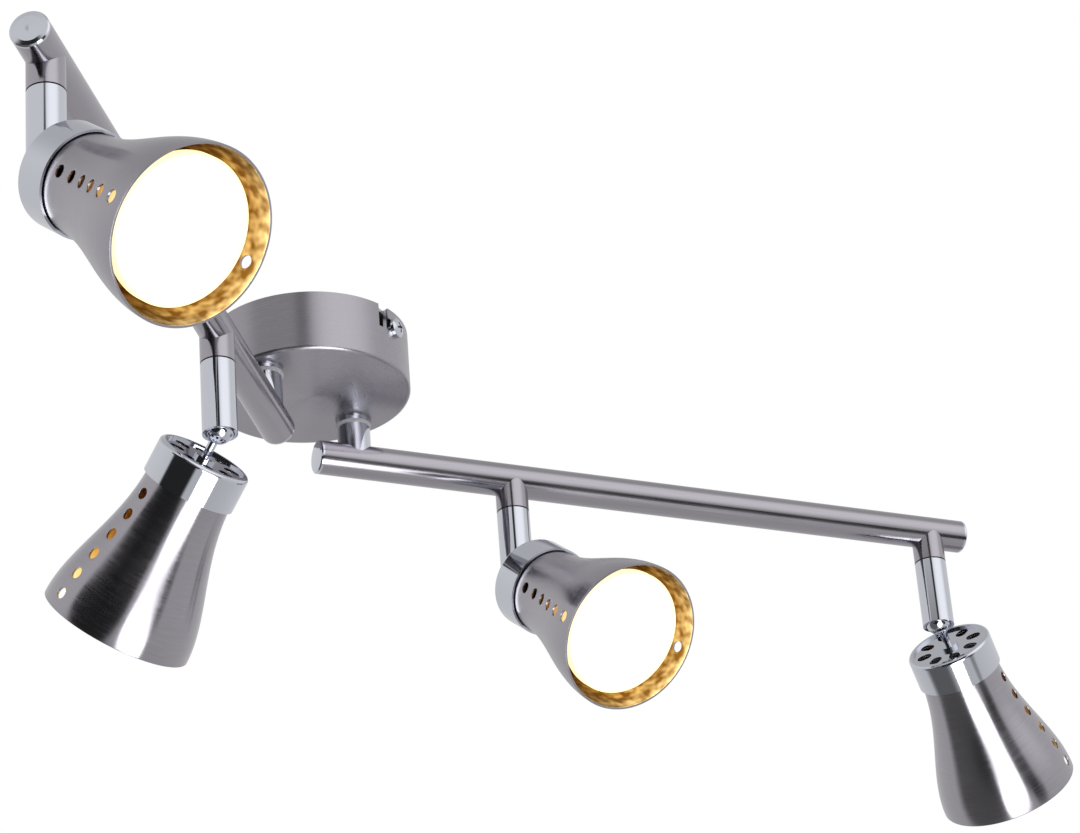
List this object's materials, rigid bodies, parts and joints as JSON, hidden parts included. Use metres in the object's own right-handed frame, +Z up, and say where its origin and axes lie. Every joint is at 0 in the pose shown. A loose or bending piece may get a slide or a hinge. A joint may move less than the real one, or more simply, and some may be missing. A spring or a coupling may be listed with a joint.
{
  "type": "ceiling spotlight",
  "caption": "Ceiling spotlight with a round canopy, swivelling bar arms and ball-jointed flared spots that turn and tilt.",
  "frame": {"origin": "centre of the canopy on the ceiling plane, between the two ceiling holes", "axes": "+Z up into the ceiling, +X from the centre towards the stem of arm 1"},
  "size_m": [0.6496, 0.2411, 0.1662],
  "materials": {
    "satin_nickel": "brushed nickel plate, satin",
    "polished_chrome": "polished chrome plate",
    "zinc_steel": "bright zinc-plated steel",
    "nylon_white": "white nylon",
    "connector_plastic": "moulded connector plastic",
    "brass": "bare brass",
    "lead_insulation": "lead insulation",
    "phenolic": "black phenolic moulding",
    "lamp_body": "white lamp body",
    "lamp_glass": "frosted front glass, lit"
  },
  "bodies": {
    "canopy": {"canopy": "satin_nickel", "ceiling_bracket": "zinc_steel", "canopy_screws": "polished_chrome", "canopy_collars": "polished_chrome", "terminal_block": "connector_plastic", "terminal_screws": "brass", "canopy_wires": "lead_insulation"},
    "arm_1": {"arm_tube_1": "satin_nickel", "arm_end_caps_1": "polished_chrome", "arm_collar_1": "polished_chrome", "friction_washer_1": "nylon_white", "arm_nipple_1": "zinc_steel", "arm_lock_nut_1": "zinc_steel", "post_3": "satin_nickel", "post_4": "satin_nickel"},
    "arm_2": {"arm_tube_2": "satin_nickel", "arm_end_caps_2": "polished_chrome", "arm_collar_2": "polished_chrome", "friction_washer_2": "nylon_white", "arm_nipple_2": "zinc_steel", "arm_lock_nut_2": "zinc_steel", "post_1": "satin_nickel", "post_2": "satin_nickel"},
    "swivel_1": {"swivel_tube_1": "polished_chrome"},
    "head_1": {"ball_stud_1": "polished_chrome", "stud_nut_1": "zinc_steel", "cap_1": "polished_chrome", "shade_1": "satin_nickel", "lampholder_1": "phenolic", "holder_screws_1": "zinc_steel", "lamp_1": "lamp_body", "lamp_lens_1": "lamp_glass"},
    "swivel_2": {"swivel_tube_2": "polished_chrome"},
    "head_2": {"ball_stud_2": "polished_chrome", "stud_nut_2": "zinc_steel", "cap_2": "polished_chrome", "shade_2": "satin_nickel", "lampholder_2": "phenolic", "holder_screws_2": "zinc_steel", "lamp_2": "lamp_body", "lamp_lens_2": "lamp_glass"},
    "swivel_3": {"swivel_tube_3": "polished_chrome"},
    "head_3": {"ball_stud_3": "polished_chrome", "stud_nut_3": "zinc_steel", "cap_3": "polished_chrome", "shade_3": "satin_nickel", "lampholder_3": "phenolic", "holder_screws_3": "zinc_steel", "lamp_3": "lamp_body", "lamp_lens_3": "lamp_glass"},
    "swivel_4": {"swivel_tube_4": "polished_chrome"},
    "head_4": {"ball_stud_4": "polished_chrome", "stud_nut_4": "zinc_steel", "cap_4": "polished_chrome", "shade_4": "satin_nickel", "lampholder_4": "phenolic", "holder_screws_4": "zinc_steel", "lamp_4": "lamp_body", "lamp_lens_4": "lamp_glass"}
  },
  "joints": [
    {"name": "arm_1_swivel", "type": "hinge", "parent": "canopy", "child": "arm_1", "pos_m": [0.0295, 0, -0.03], "axis": [0, 0, 1], "range_deg": [-60, 150]},
    {"name": "arm_2_swivel", "type": "hinge", "parent": "canopy", "child": "arm_2", "pos_m": [-0.0295, 0, -0.03], "axis": [0, 0, 1], "range_deg": [-150, 60]},
    {"name": "head_1_swivel", "type": "hinge", "parent": "arm_2", "child": "swivel_1", "pos_m": [-0.2763, -0.09921, -0.0614], "axis": [0, 0, 1], "range_deg": [-170, 170]},
    {"name": "head_1_tilt", "type": "hinge", "parent": "swivel_1", "child": "head_1", "pos_m": [-0.2763, -0.09921, -0.0867], "axis": [0.9936, -0.1132, 0], "range_deg": [-0.9, 100.1]},
    {"name": "head_2_swivel", "type": "hinge", "parent": "arm_2", "child": "swivel_2", "pos_m": [-0.09352, -0.02574, -0.0614], "axis": [0, 0, 1], "range_deg": [-170, 170]},
    {"name": "head_2_tilt", "type": "hinge", "parent": "swivel_2", "child": "head_2", "pos_m": [-0.09352, -0.02574, -0.0867], "axis": [-0.9781, 0.2079, 0], "range_deg": [-2.2, 98.8]},
    {"name": "head_3_swivel", "type": "hinge", "parent": "arm_1", "child": "swivel_3", "pos_m": [0.08717, -0.03788, -0.0614], "axis": [0, 0, 1], "range_deg": [-170, 170]},
    {"name": "head_3_tilt", "type": "hinge", "parent": "swivel_3", "child": "head_3", "pos_m": [0.08717, -0.03788, -0.0867], "axis": [0.9527, -0.304, 0], "range_deg": [-0.2, 100.8]},
    {"name": "head_4_swivel", "type": "hinge", "parent": "arm_1", "child": "swivel_4", "pos_m": [0.25183, -0.14604, -0.0614], "axis": [0, 0, 1], "range_deg": [-170, 170]},
    {"name": "head_4_tilt", "type": "hinge", "parent": "swivel_4", "child": "head_4", "pos_m": [0.25183, -0.14604, -0.0867], "axis": [-0.1132, 0.9936, 0], "range_deg": [-1.6, 99.4]}
  ]
}
